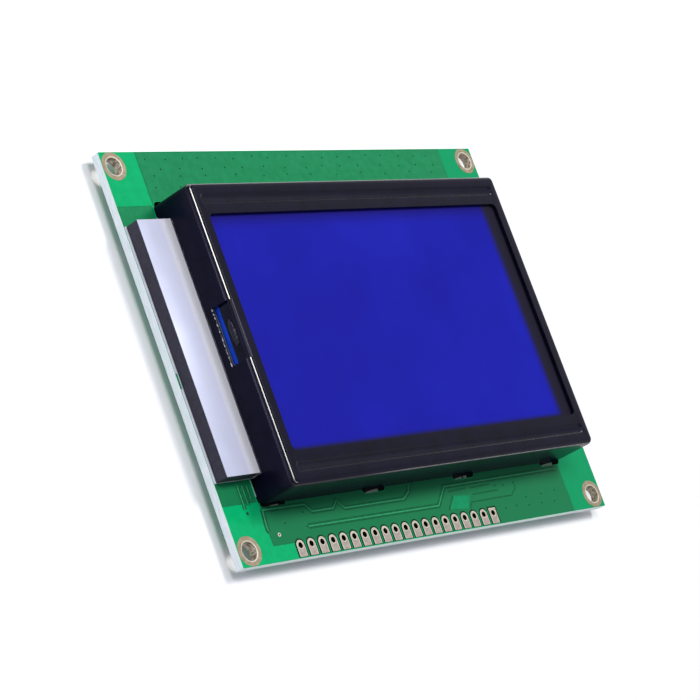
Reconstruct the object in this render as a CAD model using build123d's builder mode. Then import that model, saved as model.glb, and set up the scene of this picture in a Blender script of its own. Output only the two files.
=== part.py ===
from build123d import *
import os
from math import atan, degrees, radians, tan

# Graphic LCD module: a display cell under a folded steel bezel, on a circuit board with a
# side light bar. Millimetres. The origin is the centre of the four mounting holes, on the
# board's back face. +X runs along the board, +Y away from the pad row, +Z out of the display.

# Circuit board: its outline follows from the bezel and the light bar
board_thickness = 1.6
board_side_margin = 9.4
board_end_margin = 0.1
copper = 0.05
mount_hole_inset = 2.5
mount_hole_diameter = 3.1
mount_ring_diameter = 4.6
mount_ring_sides = 16

# Row of edge pads
pad_count = 20
pad_pitch = 2.54
pad_row_x = -8.5
pad_row_inset = 2.1
pad_hole_diameter = 1.0
pad_width = 1.75
pad_edge_margin = 0.35
small_hole_sides = 8

# Bezel: its outline follows from the window and the borders
window_length = 72.4
window_width = 40.2
window_corner_radius = 1.0
end_border = 2.4
side_border = 5.5
bezel_height = 8.5
sheet = 0.5
bend_radius = 1.0
bezel_corner_radius = 1.8
groove_end_margin = 1.8
groove_edge_margin = 2.9
groove_width = 1.9
groove_depth = 0.5
groove_slope = 0.4
notch_length = 9.8
notch_centre_y = 0.7
notch_bottom = 4.4
notch_height = 3.6
tab_end_inset = 3.2
tab_middle_x = 11.5
tab_width = 3.8
tab_neck = 0.3
tab_reach = 1.4
tab_twist = 40.0
slot_length = 5.8
slot_width = 1.7

# Display cell
cell_side_clearance = 0.3
glass_thickness = 1.1
rear_glass_strip_gap = 0.8
polariser_thickness = 0.2
polariser_margin = 1.2
seal_length = 5.0
seal_height = 1.5
seal_bulge = 0.25
seal_edge_slope = 0.12
seal_corner_cut = 0.4

# Elastomer connector strips and the contact fingers under them
strip_thickness = 1.8
strip_wall_gap = 0.8
strip_end_inset = 1.5
finger_count = 32
finger_width = 0.9
finger_overhang = 0.1

# Backlight
light_centre_y = 0.4
light_side_clearance = 0.5
film_thickness = 0.2
film_lip = 0.25
film_gap_y = -4.2
film_gap_length = 2.6
diffuser_thickness = 1.0
light_frame_wall = 1.0
guide_neck_thickness = 1.9
part_clearance = 0.1

# Light bar beside the bezel
bar_width = 7.4
bar_height = 2.8
bar_wall = 0.6
bar_roof = 0.5
bar_gap = 0.15
tape_thickness = 0.08
led_board_width = 2.6
led_board_thickness = 0.5
led_board_end_gap = 0.8
led_count = 3
led_pitch = 13.5
led_length = 3.8
led_depth = 1.2
led_height = 1.3
pin_side = 0.5
pin_end_inset = 2.2
pin_hole_diameter = 1.0
pin_reach = 1.1
solder_foot_diameter = 2.0
solder_height = 0.9
solder_slope = 34.0

# Back of the board
blob_positions = ((-26.0, 10.0), (26.0, 10.0), (0.0, -13.0))
blob_diameter = 15.0
blob_sides = 32
blob_height = 1.6
blob_edge_slope = 1.2
chip_centre = (-25.0, -14.0)
chip_length = 8.6
chip_body_width = 3.9
chip_body_height = 1.3
chip_standoff = 0.1
chip_leads_per_side = 7
chip_lead_pitch = 1.27
chip_lead_width = 0.42
chip_lead_thickness = 0.2
chip_lead_span = 6.0
chip_lead_foot = 0.6
chip_lead_shoulder = 0.35
chip_edge_chamfer = 0.25
component_length = 2.0
component_width = 1.25
end_cap_length = 0.4
resistor_height = 0.5
capacitor_height = 0.9
resistor_groups = (((-25.0, -21.0), 6, 2.6), ((22.0, -6.0), 6, 2.6))
capacitor_groups = (((24.0, -13.0), 5, 3.4), ((0.0, 16.0), 3, 4.0))

# Levels, counted from the board's back face
board_top = board_thickness
bezel_top = board_top + bezel_height
sheet_underside = bezel_top - sheet
glass_top = sheet_underside - groove_depth
front_glass_base = glass_top - glass_thickness
rear_glass_base = front_glass_base - glass_thickness
rear_polariser_base = rear_glass_base - polariser_thickness
diffuser_base = rear_polariser_base - diffuser_thickness
film_top = board_top + film_thickness
bar_top = board_top + bar_height
housing_top = bar_top - tape_thickness

# Places along the board that several pieces share
bezel_length = window_length + 2 * end_border
bezel_width = window_width + 2 * side_border
bezel_inside_length = bezel_length - 2 * sheet
bezel_inside_width = bezel_width - 2 * sheet
wall_centre_y = bezel_width / 2 - sheet / 2
bar_inner_x = -bezel_length / 2 - bar_gap
bar_outer_x = bar_inner_x - bar_width
board_length = 2 * (-bar_outer_x + film_lip + board_end_margin)
board_width = bezel_width + 2 * board_side_margin
mount_spacing_x = board_length - 2 * mount_hole_inset
mount_spacing_y = board_width - 2 * mount_hole_inset
pad_row_y = -board_width / 2 + pad_row_inset
mount_drill_diameter = mount_hole_diameter + 2 * copper
pad_drill_diameter = pad_hole_diameter + 2 * copper
cell_length = bezel_inside_length - 2 * cell_side_clearance
front_glass_width = bezel_inside_width - 2 * cell_side_clearance
glass_corner_cut = (bezel_corner_radius - sheet - cell_side_clearance) / 2
strip_outer_y = bezel_inside_width / 2 - strip_wall_gap
strip_inner_y = strip_outer_y - strip_thickness
strip_centre_y = (strip_outer_y + strip_inner_y) / 2
rear_glass_width = 2 * (strip_inner_y - rear_glass_strip_gap)
light_length = bezel_inside_length - 2 * light_side_clearance
light_width = 2 * (strip_inner_y - light_side_clearance - light_centre_y)
led_board_length = light_width - 2 * bar_wall - 2 * led_board_end_gap
led_board_x = bar_outer_x + bar_wall + part_clearance + led_board_width / 2
led_x = led_board_x + led_board_width / 2 - led_depth / 2
pin_x = led_board_x - led_board_width / 2 + pin_side
pin_offset_y = led_board_length / 2 - pin_end_inset
pin_spots = [(pin_x, light_centre_y + side * pin_offset_y) for side in (-1, 1)]
tab_end_x = bezel_length / 2 - tab_end_inset
tab_positions_x = (-tab_end_x, -tab_middle_x, tab_middle_x, tab_end_x)
tab_spots = [(x, side * wall_centre_y) for x in tab_positions_x for side in (-1, 1)]
slot_end_spots = [
    (x + side * (slot_length - slot_width) / 2, y) for x, y in tab_spots for side in (-1, 1)
]


def save(piece, name):
    """Label a finished piece and write it under that name."""
    piece.part.label = name
    export_step(piece.part, f"parts/{name}.step")


def flat_sided_round(diameter, sides, mode):
    """Draw a drilled or printed round as a polygon whose flats lie on the diameter."""
    RegularPolygon(diameter / 2, sides, major_radius=False, rotation=180 / sides, mode=mode)


os.makedirs("parts", exist_ok=True)

# Circuit board with its plated holes drilled oversize, the tab slots and the pin holes
with BuildPart() as circuit_board:
    with BuildSketch():
        Rectangle(board_length, board_width)
        with GridLocations(mount_spacing_x, mount_spacing_y, 2, 2):
            flat_sided_round(mount_drill_diameter, mount_ring_sides, Mode.SUBTRACT)
        with Locations(*tab_spots):
            Rectangle(slot_length - slot_width, slot_width, mode=Mode.SUBTRACT)
        with Locations(*slot_end_spots):
            flat_sided_round(slot_width, small_hole_sides, Mode.SUBTRACT)
        with Locations((pad_row_x, pad_row_y)):
            with GridLocations(pad_pitch, 0, pad_count, 1):
                flat_sided_round(pad_drill_diameter, small_hole_sides, Mode.SUBTRACT)
        with Locations(*pin_spots):
            flat_sided_round(pin_hole_diameter, small_hole_sides, Mode.SUBTRACT)
    extrude(amount=board_thickness)
save(circuit_board, "circuit_board")

# Plating of the mounting holes: a ring on each face joined by the barrel
with BuildPart() as mounting_hole_plating:
    for ring_base in (-copper, board_top):
        with BuildSketch(Plane.XY.offset(ring_base)):
            with GridLocations(mount_spacing_x, mount_spacing_y, 2, 2):
                flat_sided_round(mount_ring_diameter, mount_ring_sides, Mode.ADD)
                Circle(mount_hole_diameter / 2, mode=Mode.SUBTRACT)
        extrude(amount=copper)
    with BuildSketch(Plane.XY.offset(-copper)):
        with GridLocations(mount_spacing_x, mount_spacing_y, 2, 2):
            flat_sided_round(mount_drill_diameter, mount_ring_sides, Mode.ADD)
            Circle(mount_hole_diameter / 2, mode=Mode.SUBTRACT)
    extrude(amount=board_thickness + 2 * copper)
save(mounting_hole_plating, "mounting_hole_plating")

# Edge pads: round-headed fingers on both faces, joined through the hole; pad one is square
pad_tail = pad_row_inset - pad_edge_margin
first_pad_x = pad_row_x + (pad_count - 1) * pad_pitch / 2
with BuildPart() as interface_pads:
    for pad_base in (-copper, board_top):
        with BuildSketch(Plane.XY.offset(pad_base)):
            with Locations((pad_row_x, pad_row_y)):
                with GridLocations(pad_pitch, 0, pad_count, 1):
                    flat_sided_round(pad_width, small_hole_sides, Mode.ADD)
            with Locations((pad_row_x, pad_row_y - pad_tail / 2)):
                with GridLocations(pad_pitch, 0, pad_count, 1):
                    Rectangle(pad_width, pad_tail)
            with Locations((first_pad_x, pad_row_y)):
                Rectangle(pad_width, pad_width)
            with Locations((pad_row_x, pad_row_y)):
                with GridLocations(pad_pitch, 0, pad_count, 1):
                    flat_sided_round(pad_hole_diameter, small_hole_sides, Mode.SUBTRACT)
        extrude(amount=copper)
    with BuildSketch(Plane.XY.offset(-copper)):
        with Locations((pad_row_x, pad_row_y)):
            with GridLocations(pad_pitch, 0, pad_count, 1):
                flat_sided_round(pad_drill_diameter, small_hole_sides, Mode.ADD)
                flat_sided_round(pad_hole_diameter, small_hole_sides, Mode.SUBTRACT)
    extrude(amount=board_thickness + 2 * copper)
save(interface_pads, "interface_pads")

# Gold contact fingers under the two connector strips
finger_run = cell_length - 2 * strip_end_inset - 2 * finger_width
finger_pitch = finger_run / (finger_count - 1)
with BuildPart() as contact_fingers:
    with BuildSketch(Plane.XY.offset(board_top)):
        with GridLocations(finger_pitch, 2 * strip_centre_y, finger_count, 2):
            Rectangle(finger_width, strip_thickness + 2 * finger_overhang)
    extrude(amount=copper)
save(contact_fingers, "contact_fingers")

# Bezel: a drawn pan of sheet steel with a window, a pressed groove along each long border,
# a notch and the light bar's way through the left wall, and twisted tabs below the board
groove_taper = degrees(atan(groove_slope / groove_depth))
groove_grow = sheet * tan((radians(90) - radians(groove_taper)) / 2)
groove_length = bezel_length - 2 * groove_end_margin
groove_offset_y = bezel_width / 2 - groove_edge_margin
passage_width = light_width + 2 * bar_gap
with BuildPart() as bezel:
    with BuildSketch(Plane.XY.offset(board_top)):
        RectangleRounded(bezel_length, bezel_width, bezel_corner_radius)
    extrude(amount=bezel_height)
    fillet(bezel.faces().sort_by(Axis.Z)[-1].edges(), bend_radius)
    offset(amount=-sheet, openings=bezel.faces().sort_by(Axis.Z)[0])
    with BuildSketch(Plane.XY.offset(sheet_underside)):
        with GridLocations(0, 2 * groove_offset_y, 1, 2):
            SlotOverall(groove_length + 2 * groove_grow, groove_width + 2 * groove_grow)
    extrude(amount=-groove_depth, taper=groove_taper)
    with BuildSketch(Plane.XY.offset(bezel_top)):
        with GridLocations(0, 2 * groove_offset_y, 1, 2):
            SlotOverall(groove_length, groove_width)
    extrude(amount=-groove_depth, taper=groove_taper, mode=Mode.SUBTRACT)
    with BuildSketch(Plane.XY.offset(bezel_top)):
        RectangleRounded(window_length, window_width, window_corner_radius)
    extrude(amount=-2 * sheet, mode=Mode.SUBTRACT)
    with BuildSketch(Plane.YZ.offset(-bezel_length / 2)):
        with Locations((notch_centre_y, board_top + notch_bottom + notch_height / 2)):
            Rectangle(notch_length, notch_height)
        with Locations((light_centre_y, board_top + (bar_height + bar_gap) / 2)):
            Rectangle(passage_width, bar_height + bar_gap)
    extrude(amount=bend_radius, mode=Mode.SUBTRACT)
    with BuildSketch(Plane.XY.offset(-tab_neck)):
        with Locations(*tab_spots):
            Rectangle(tab_width, sheet)
    extrude(amount=board_thickness + tab_neck)
    with BuildSketch(Plane.XY.offset(-tab_neck)):
        with Locations(*tab_spots):
            Rectangle(tab_width, sheet, rotation=tab_twist)
    extrude(amount=tab_neck - tab_reach)
save(bezel, "bezel")

# Front glass, whose long edges overhang the rear glass as contact ledges; its corners are
# cut to clear the bezel's rounded ones
with BuildPart() as front_glass:
    with BuildSketch(Plane.XY.offset(front_glass_base)) as front_glass_outline:
        Rectangle(cell_length, front_glass_width)
        chamfer(front_glass_outline.vertices(), glass_corner_cut)
    extrude(amount=glass_thickness)
save(front_glass, "front_glass")

with BuildPart() as rear_glass:
    with BuildSketch(Plane.XY.offset(rear_glass_base)):
        Rectangle(cell_length, rear_glass_width)
    extrude(amount=glass_thickness)
save(rear_glass, "rear_glass")

# Polarising films on the outer face of each glass
polariser_length = window_length + 2 * polariser_margin
polariser_width = window_width + 2 * polariser_margin
with BuildPart() as front_polariser:
    with BuildSketch(Plane.XY.offset(glass_top)):
        Rectangle(polariser_length, polariser_width)
    extrude(amount=polariser_thickness)
save(front_polariser, "front_polariser")

with BuildPart() as rear_polariser:
    with BuildSketch(Plane.XY.offset(rear_polariser_base)):
        Rectangle(polariser_length, polariser_width)
    extrude(amount=polariser_thickness)
save(rear_polariser, "rear_polariser")

# Resin bead that closes the cell's fill port at the left edge
with BuildPart() as fill_port_seal:
    with BuildSketch(Plane.YZ.offset(-cell_length / 2)) as seal_outline:
        with Locations((notch_centre_y, front_glass_base)):
            Rectangle(seal_length, seal_height)
        chamfer(seal_outline.vertices(), seal_corner_cut)
    extrude(amount=-seal_bulge)
    chamfer(fill_port_seal.faces().sort_by(Axis.X)[0].edges(), seal_edge_slope)
save(fill_port_seal, "fill_port_seal")

# Elastomer strips that join the board's fingers to the front glass
strip_base = board_top + copper
for strip_name, strip_side in (("upper_connector_strip", 1), ("lower_connector_strip", -1)):
    with BuildPart() as connector_strip:
        with BuildSketch(Plane.XY.offset(strip_base)):
            with Locations((0, strip_side * strip_centre_y)):
                Rectangle(cell_length - 2 * strip_end_inset, strip_thickness)
        extrude(amount=front_glass_base - strip_base)
    save(connector_strip, strip_name)

# White reflector film under the whole backlight, with a lip beside the bar and a gap in it
film_left = bar_outer_x - film_lip
film_length = light_length / 2 - film_left
with BuildPart() as reflector_film:
    with BuildSketch(Plane.XY.offset(board_top)):
        with Locations((film_left + film_length / 2, light_centre_y)):
            Rectangle(film_length, light_width)
        with Locations((film_left + film_lip / 2, film_gap_y)):
            Rectangle(film_lip, film_gap_length, mode=Mode.SUBTRACT)
        with Locations(*pin_spots):
            flat_sided_round(pin_hole_diameter, small_hole_sides, Mode.SUBTRACT)
    extrude(amount=film_thickness)
save(reflector_film, "reflector_film")

# Clear light guide: a thick plate under the cell and a thin neck that reaches the LEDs
guide_width = light_width - 2 * light_frame_wall - 2 * part_clearance
guide_right = light_length / 2 - light_frame_wall - part_clearance
guide_left = -guide_right
neck_left = led_board_x + led_board_width / 2 + part_clearance
neck_top = film_top + guide_neck_thickness
with BuildPart() as light_guide:
    with BuildSketch(Plane.XZ.offset(-light_centre_y)):
        with BuildLine():
            Polyline(
                (neck_left, film_top),
                (guide_right, film_top),
                (guide_right, diffuser_base),
                (guide_left, diffuser_base),
                (guide_left, neck_top),
                (neck_left, neck_top),
                close=True,
            )
        make_face()
    extrude(amount=guide_width / 2, both=True)
save(light_guide, "light_guide")

# White frame round the light guide, open on the left for the guide's neck
with BuildPart() as backlight_frame:
    with BuildSketch(Plane.XY.offset(film_top)):
        with Locations((0, light_centre_y)):
            Rectangle(light_length, light_width)
            Rectangle(
                light_length - 2 * light_frame_wall,
                light_width - 2 * light_frame_wall,
                mode=Mode.SUBTRACT,
            )
    extrude(amount=diffuser_base - film_top)
    with BuildSketch(Plane.YZ.offset(-light_length / 2)):
        with Locations((light_centre_y, (film_top + neck_top + part_clearance) / 2)):
            Rectangle(
                guide_width + 2 * part_clearance, guide_neck_thickness + part_clearance
            )
    extrude(amount=light_frame_wall, mode=Mode.SUBTRACT)
save(backlight_frame, "backlight_frame")

with BuildPart() as diffuser_plate:
    with BuildSketch(Plane.XY.offset(diffuser_base)):
        with Locations((0, light_centre_y)):
            Rectangle(light_length, light_width)
    extrude(amount=diffuser_thickness)
save(diffuser_plate, "diffuser_plate")

# Light-bar housing: a channel over the LEDs, closed at its ends and open to the bezel
bar_centre_x = (bar_inner_x + bar_outer_x) / 2
with BuildPart() as light_bar_housing:
    with BuildSketch(Plane.XY.offset(film_top)):
        with Locations((bar_centre_x, light_centre_y)):
            Rectangle(bar_width, light_width)
    extrude(amount=housing_top - film_top)
    with BuildSketch(Plane.XY.offset(film_top)):
        with Locations((bar_centre_x + bar_wall / 2, light_centre_y)):
            Rectangle(bar_width - bar_wall, light_width - 2 * bar_wall)
    extrude(amount=housing_top - bar_roof - film_top, mode=Mode.SUBTRACT)
save(light_bar_housing, "light_bar_housing")

with BuildPart() as light_bar_tape:
    with BuildSketch(Plane.XY.offset(housing_top)):
        with Locations((bar_centre_x, light_centre_y)):
            Rectangle(bar_width, light_width)
    extrude(amount=tape_thickness)
save(light_bar_tape, "light_bar_tape")

# LED strip board, its side-facing LEDs and the two pins soldered through the main board
led_board_top = film_top + led_board_thickness
with BuildPart() as led_board:
    with BuildSketch(Plane.XY.offset(film_top)):
        with Locations((led_board_x, light_centre_y)):
            Rectangle(led_board_width, led_board_length)
        with Locations(*pin_spots):
            Rectangle(pin_side, pin_side, mode=Mode.SUBTRACT)
    extrude(amount=led_board_thickness)
save(led_board, "led_board")

with BuildPart() as leds:
    with BuildSketch(Plane.XY.offset(led_board_top)):
        with Locations((led_x, light_centre_y)):
            with GridLocations(0, led_pitch, 1, led_count):
                Rectangle(led_depth, led_length)
    extrude(amount=led_height)
save(leds, "leds")

with BuildPart() as backlight_pins:
    with BuildSketch(Plane.XY.offset(-pin_reach)):
        with Locations(*pin_spots):
            Rectangle(pin_side, pin_side)
    extrude(amount=led_board_top + pin_reach)
save(backlight_pins, "backlight_pins")

# Solder cones round the two pins on the board's back
with BuildPart() as backlight_solder:
    with BuildSketch():
        with Locations(*pin_spots):
            flat_sided_round(solder_foot_diameter, small_hole_sides, Mode.ADD)
    extrude(amount=-solder_height, taper=solder_slope)
    with BuildSketch():
        with Locations(*pin_spots):
            Rectangle(pin_side, pin_side)
    extrude(amount=-solder_height, mode=Mode.SUBTRACT)
save(backlight_solder, "backlight_solder")

# Resin caps over the three bare driver chips; the module rests on their flat tops
with BuildPart() as driver_chip_caps:
    with BuildSketch():
        with Locations(*blob_positions):
            flat_sided_round(blob_diameter, blob_sides, Mode.ADD)
    extrude(amount=-blob_height)
    cap_tops = driver_chip_caps.faces().filter_by(Axis.Z).group_by(Axis.Z)[0]
    chamfer(cap_tops.edges(), blob_edge_slope)
save(driver_chip_caps, "driver_chip_caps")

# Buffer amplifier: moulded body and gull-wing leads
with BuildPart() as amplifier_body:
    with BuildSketch(Plane.XY.offset(-chip_standoff)):
        with Locations(chip_centre):
            Rectangle(chip_length, chip_body_width)
    extrude(amount=-chip_body_height)
    chamfer(amplifier_body.faces().sort_by(Axis.Z)[0].edges(), chip_edge_chamfer)
save(amplifier_body, "amplifier_body")

lead_root = chip_body_width / 2
lead_knee = lead_root + chip_lead_shoulder
lead_heel = chip_lead_span / 2 - chip_lead_foot
lead_tip = chip_lead_span / 2
lead_top = -chip_standoff - (chip_body_height - chip_lead_thickness) / 2
first_lead_x = chip_centre[0] - (chip_leads_per_side - 1) * chip_lead_pitch / 2
with BuildPart() as amplifier_leads:
    for lead in range(chip_leads_per_side):
        lead_plane = Plane(
            origin=(first_lead_x + lead * chip_lead_pitch, chip_centre[1], 0),
            x_dir=(0, 1, 0),
            z_dir=(1, 0, 0),
        )
        with BuildSketch(lead_plane):
            with BuildLine():
                Polyline(
                    (lead_root, lead_top),
                    (lead_knee, lead_top),
                    (lead_heel, 0),
                    (lead_tip, 0),
                    (lead_tip, -chip_lead_thickness),
                    (lead_heel + chip_lead_thickness, -chip_lead_thickness),
                    (lead_knee + chip_lead_thickness, lead_top - chip_lead_thickness),
                    (lead_root, lead_top - chip_lead_thickness),
                    close=True,
                )
            make_face()
            mirror(about=Plane.YZ)
        extrude(amount=chip_lead_width / 2, both=True)
save(amplifier_leads, "amplifier_leads")

# Chip resistors and capacitors: ceramic bodies between tinned end caps
for kind, groups, height in (
    ("resistor", resistor_groups, resistor_height),
    ("capacitor", capacitor_groups, capacitor_height),
):
    with BuildPart() as bodies:
        with BuildSketch():
            for centre, count, pitch in groups:
                with Locations(centre):
                    with GridLocations(pitch, 0, count, 1):
                        Rectangle(component_width, component_length - 2 * end_cap_length)
        extrude(amount=-height)
    save(bodies, f"{kind}_bodies")
    with BuildPart() as end_caps:
        with BuildSketch():
            for centre, count, pitch in groups:
                with Locations(centre):
                    with GridLocations(pitch, component_length - end_cap_length, count, 2):
                        Rectangle(component_width, end_cap_length)
        extrude(amount=-height)
    save(end_caps, f"{kind}_end_caps")
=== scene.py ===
import math
import random

import bmesh
import bpy
from mathutils import Matrix, Vector, noise


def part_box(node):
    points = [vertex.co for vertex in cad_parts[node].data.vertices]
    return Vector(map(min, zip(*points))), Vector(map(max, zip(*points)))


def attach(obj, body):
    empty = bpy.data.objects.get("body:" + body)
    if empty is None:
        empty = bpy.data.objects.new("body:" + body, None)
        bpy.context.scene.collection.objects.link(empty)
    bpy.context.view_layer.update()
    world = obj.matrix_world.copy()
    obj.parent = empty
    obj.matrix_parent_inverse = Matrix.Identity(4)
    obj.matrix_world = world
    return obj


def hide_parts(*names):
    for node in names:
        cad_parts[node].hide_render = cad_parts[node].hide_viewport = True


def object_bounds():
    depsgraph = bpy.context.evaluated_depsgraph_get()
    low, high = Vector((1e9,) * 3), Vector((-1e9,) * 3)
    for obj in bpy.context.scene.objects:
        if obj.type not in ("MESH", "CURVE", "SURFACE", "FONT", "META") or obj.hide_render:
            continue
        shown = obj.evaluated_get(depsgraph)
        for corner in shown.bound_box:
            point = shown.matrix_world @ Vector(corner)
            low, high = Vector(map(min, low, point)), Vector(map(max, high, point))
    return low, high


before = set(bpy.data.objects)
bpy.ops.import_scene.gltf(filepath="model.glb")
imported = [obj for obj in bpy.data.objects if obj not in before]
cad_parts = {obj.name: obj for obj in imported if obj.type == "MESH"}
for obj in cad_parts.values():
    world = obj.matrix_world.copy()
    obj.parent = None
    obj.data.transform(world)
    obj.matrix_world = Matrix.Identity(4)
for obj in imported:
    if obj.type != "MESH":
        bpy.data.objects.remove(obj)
cad_low, cad_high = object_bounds()
mm = 0.001

# The table: a plain white sheet, faintly glossy, that the module lies on face up. It isn't
# part of the object. A white surround closes the picture on every side.
floor_half = 3.0
floor_white = (0.97, 0.975, 0.985, 1)
floor_gloss = 0.4
floor_roughness = 0.3
floor_glow = 0.05

floor_bm = bmesh.new()
bmesh.ops.create_grid(floor_bm, x_segments=2, y_segments=2, size=floor_half)
bmesh.ops.translate(floor_bm, verts=floor_bm.verts, vec=(0, 0, cad_low.z))
floor_mesh = bpy.data.meshes.new("floor")
floor_bm.to_mesh(floor_mesh)
floor_bm.free()
floor = bpy.data.objects.new("floor", floor_mesh)
bpy.context.scene.collection.objects.link(floor)

floor_material = bpy.data.materials.new("floor_sheet")
floor_material.use_nodes = True
floor_nodes = floor_material.node_tree.nodes
floor_links = floor_material.node_tree.links
floor_shader = floor_nodes["Principled BSDF"]
floor_shader.inputs["Base Color"].default_value = floor_white
floor_shader.inputs["Roughness"].default_value = floor_roughness
floor_shader.inputs["Specular IOR Level"].default_value = floor_gloss
floor_path = floor_nodes.new("ShaderNodeLightPath")
floor_lift = floor_nodes.new("ShaderNodeMath")
floor_lift.operation = "MULTIPLY"
floor_lift.inputs[1].default_value = floor_glow
floor_shader.inputs["Emission Color"].default_value = (1, 1, 1, 1)
floor_links.new(floor_path.outputs["Is Camera Ray"], floor_lift.inputs[0])
floor_links.new(floor_lift.outputs[0], floor_shader.inputs["Emission Strength"])
floor_mesh.materials.append(floor_material)

# The surround: white where the camera, a gloss or a clear piece sees it, and a softer bluish
# light on everything else, which tints the shadows and leaves the rest about as written.
surround_light = 0.32
surround_tint = (0.91, 0.93, 1.15, 1)
surround = bpy.data.worlds.new("surround")
surround.use_nodes = True
bpy.context.scene.world = surround
sky = surround.node_tree
sky_path = sky.nodes.new("ShaderNodeLightPath")
seen_by_gloss = sky.nodes.new("ShaderNodeMath")
seen_by_gloss.operation = "MAXIMUM"
seen_at_all = sky.nodes.new("ShaderNodeMath")
seen_at_all.operation = "MAXIMUM"
sky_strength = sky.nodes.new("ShaderNodeMapRange")
sky_strength.inputs["To Min"].default_value = surround_light
sky_strength.inputs["To Max"].default_value = 1.0
sky.links.new(sky_path.outputs["Is Glossy Ray"], seen_by_gloss.inputs[0])
sky.links.new(sky_path.outputs["Is Transmission Ray"], seen_by_gloss.inputs[1])
sky.links.new(seen_by_gloss.outputs[0], seen_at_all.inputs[0])
sky.links.new(sky_path.outputs["Is Camera Ray"], seen_at_all.inputs[1])
sky.links.new(seen_at_all.outputs[0], sky_strength.inputs["Value"])
sky.links.new(sky_strength.outputs[0], sky.nodes["Background"].inputs["Strength"])
sky_colour = sky.nodes.new("ShaderNodeMix")
sky_colour.data_type = "RGBA"
sky_colour.inputs["A"].default_value = surround_tint
sky_colour.inputs["B"].default_value = (1, 1, 1, 1)
sky.links.new(seen_at_all.outputs[0], sky_colour.inputs["Factor"])
sky.links.new(sky_colour.outputs["Result"], sky.nodes["Background"].inputs["Color"])

# The lamps: a soft box overhead, a little to the right, which throws the short shadows to the
# left and towards the pad row; a long one on the left, which draws the bright line along the
# bezel's left fold; and a low lilac one for the cut edge and the light bar's side.
warm_white = (1.0, 0.985, 0.95)
lilac = (0.72, 0.66, 1.0)
# Each lamp: name, place, width and length, power and colour.
lamps = (
    ("overhead_box", (0.157, 0.146, 0.518), (0.13, 0.16), 1.5, warm_white),
    ("left_box", (-0.146, 0.121, 0.518), (0.13, 0.30), 1.06, warm_white),
    ("low_box", (-0.57, 0.126, 0.09), (0.06, 0.30), 0.75, lilac),
)
for lamp_name, lamp_place, lamp_size, lamp_power, lamp_colour in lamps:
    lamp_data = bpy.data.lights.new(lamp_name, "AREA")
    lamp_data.shape = "RECTANGLE"
    lamp_data.size, lamp_data.size_y = lamp_size
    lamp_data.energy = lamp_power
    lamp_data.color = lamp_colour
    lamp = bpy.data.objects.new(lamp_name, lamp_data)
    lamp.location = lamp_place
    lamp.rotation_euler = (-Vector(lamp_place)).to_track_quat("-Z", "Y").to_euler()
    lamp.visible_camera = False
    bpy.context.scene.collection.objects.link(lamp)

# The camera: it stands where the photograph was taken from, far off and with a long lens. Its
# place is in metres and its turn in degrees.
camera_place = (-0.34921, -0.10263, 0.28712)
camera_turn = (32.526, -42.392, -27.056)
camera_lens = 142.73
camera_data = bpy.data.cameras.new("camera")
camera_data.lens = camera_lens
camera = bpy.data.objects.new("camera", camera_data)
camera.location = camera_place
camera.rotation_euler = [math.radians(angle) for angle in camera_turn]
bpy.context.scene.collection.objects.link(camera)
bpy.context.scene.camera = camera
bpy.context.scene.view_settings.view_transform = "Standard"

# Circuit board: glass-fibre laminate, drilled and slotted, under a glossy green solder mask.
# The mask is bright where it lies on bare laminate, and duller over copper. The cut edges
# show pale fibre.
board_low, board_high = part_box("circuit_board")
board_top = board_high.z
board_length = board_high.x - board_low.x
board_width = board_high.y - board_low.y
hole_spacing_x = 88 * mm
hole_spacing_y = 65 * mm
drill_radius = 1.6 * mm
board_corner = 0.15 * mm
rim_band = 0.2 * mm
plating = 0.05 * mm
mask_bright = (8, 184, 113)
mask_bright_deep = (4, 172, 103)
mask_gloss = 0.07
mask_ripple = 0.004 * mm
mask_right = (4, 152, 96)
mask_right_x = (33 * mm, 38 * mm)
shade_share = 0.85
tone_band = (0.3, 0.7)
cloud_detail = 5
grit_detail = 3
fibre_grain = (2.2 * mm, 2.2 * mm, 0.16 * mm)
pad_count = 20
pad_pitch = 2.54 * mm
pad_row_x = -8.5 * mm
pad_row_y = board_low.y + 2.1 * mm
pad_hole_radius = 0.5 * mm
pad_drill_radius = pad_hole_radius + plating
tab_rows_y = 25.35 * mm
tab_columns_x = (-35.4 * mm, -11.5 * mm, 11.5 * mm, 35.4 * mm)
slot_length = 5.8 * mm
slot_width = 1.7 * mm
slot_places = [(x, y) for x in tab_columns_x for y in (-tab_rows_y, tab_rows_y)]
pin_hole_radius = 0.5 * mm
pin_spots = ((-44.95 * mm, -17.6 * mm), (-44.95 * mm, 18.4 * mm))


def linear(colour):
    """A colour given in screen values from 0 to 255, as the shader takes it."""
    shares = [part / 255 for part in colour]
    return [s / 12.92 if s <= 0.04045 else ((s + 0.055) / 1.055) ** 2.4 for s in shares] + [1]


def shader_of(material):
    return material.node_tree.nodes["Principled BSDF"]


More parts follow.
